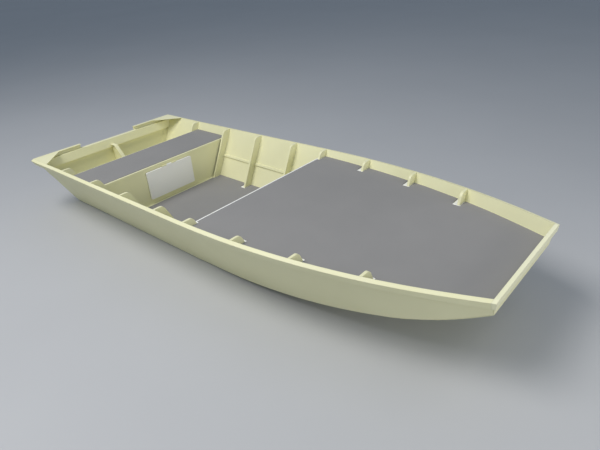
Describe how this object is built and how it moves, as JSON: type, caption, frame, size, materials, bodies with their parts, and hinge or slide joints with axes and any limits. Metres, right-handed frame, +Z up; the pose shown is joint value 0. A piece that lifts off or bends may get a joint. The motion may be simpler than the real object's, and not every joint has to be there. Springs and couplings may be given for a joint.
{
  "type": "flat-bottomed aluminium jon boat",
  "caption": "Flat-bottomed aluminium jon boat with square bow, raised fore deck, open cockpit, stern bench with a hinged hatch and a notched transom for a motor",
  "frame": {"origin": "amidships on the centreline, at the level that the bottom strakes stand on", "axes": "+X forward to the bow, +Y to port, +Z up"},
  "size_m": [4.88, 1.8548, 0.65],
  "materials": {
    "hull_paint": "satin cream paint on aluminium plate",
    "deck_covering": "matt grey non-slip covering",
    "hatch_plastic": "light grey moulded door",
    "hinge_metal": "stainless hinge",
    "drain_brass": "plain drain tube"
  },
  "bodies": {
    "hull": {"bottom_plate": "hull_paint", "bottom_strakes": "hull_paint", "side_port": "hull_paint", "side_starboard": "hull_paint", "gunwale_port": "hull_paint", "gunwale_starboard": "hull_paint", "side_stringer_port": "hull_paint", "side_stringer_starboard": "hull_paint", "transom_plate": "hull_paint", "transom_beam": "hull_paint", "transom_knee": "hull_paint", "corner_gusset_port": "hull_paint", "corner_gusset_starboard": "hull_paint", "corner_stiffener_port": "hull_paint", "corner_stiffener_starboard": "hull_paint", "bow_plate": "hull_paint", "bow_cap": "hull_paint", "frame_1": "hull_paint", "frame_2": "hull_paint", "frame_3": "hull_paint", "frame_4": "hull_paint", "frame_5": "hull_paint", "frame_6": "hull_paint", "frame_7": "hull_paint", "frame_8": "hull_paint", "bench_top": "hull_paint", "bench_front": "hull_paint", "bench_back": "hull_paint", "bench_toe": "hull_paint", "deck_bulkhead": "hull_paint", "fore_deck": "hull_paint", "deck_edge": "hull_paint", "cockpit_sole": "hull_paint", "sole_cover": "deck_covering", "bench_cover": "deck_covering", "deck_cover": "deck_covering", "hatch_hinge": "hinge_metal", "drain_tube": "drain_brass"},
    "hatch": {"hatch_door": "hatch_plastic"}
  },
  "joints": [
    {"name": "hatch_hinge_joint", "type": "hinge", "parent": "hull", "child": "hatch", "pos_m": [-1.27, 0, 0.4545], "axis": [0, -1, 0], "range_deg": [0, 170]}
  ]
}
